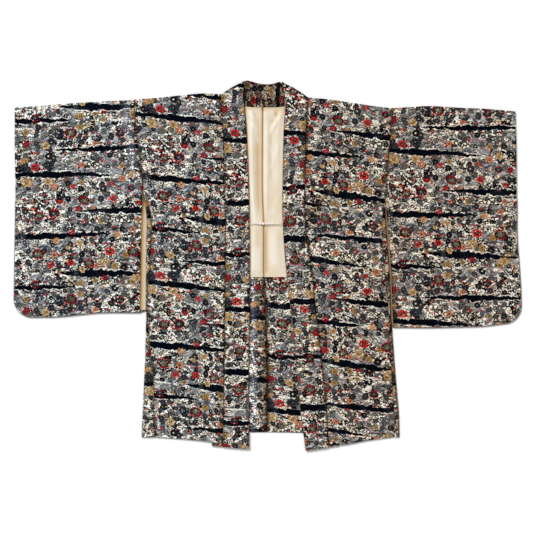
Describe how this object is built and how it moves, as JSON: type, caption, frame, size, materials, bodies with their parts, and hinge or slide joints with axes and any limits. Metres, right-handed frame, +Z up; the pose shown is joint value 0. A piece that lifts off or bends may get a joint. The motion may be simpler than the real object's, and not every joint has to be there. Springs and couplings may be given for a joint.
{
  "type": "haori jacket",
  "caption": "Open-fronted haori jacket laid flat, with wide square sleeves, a turned-back collar band, a cream lining and a bead tie across the opening.",
  "frame": {"origin": "on the surface the jacket lies on, under the middle of its outline", "axes": "+X from the wearer's right sleeve to the left, +Y from the hem to the neck, +Z up from the surface, out of the front"},
  "size_m": [1.2446, 0.9067, 0.0101],
  "materials": {
    "print": "printed silk crepe, soft sheen",
    "lining": "plain silk, soft sheen",
    "cord": "matt thread",
    "pearl": "pearl gloss"
  },
  "bodies": {
    "root": {"body_right": "print", "body_left": "print", "gusset_right": "print", "gusset_left": "print", "sleeve_right": "print", "sleeve_left": "print", "collar_right": "print", "collar_neck": "print", "collar_left": "print", "lining_back_right": "lining", "lining_back_left": "lining", "turn_up_right": "print", "turn_up_left": "print", "sleeve_lining_right": "lining", "sleeve_lining_left": "lining", "tie_loop_right": "cord", "tie_loop_left": "cord", "bead_tie": "pearl"}
  },
  "joints": []
}
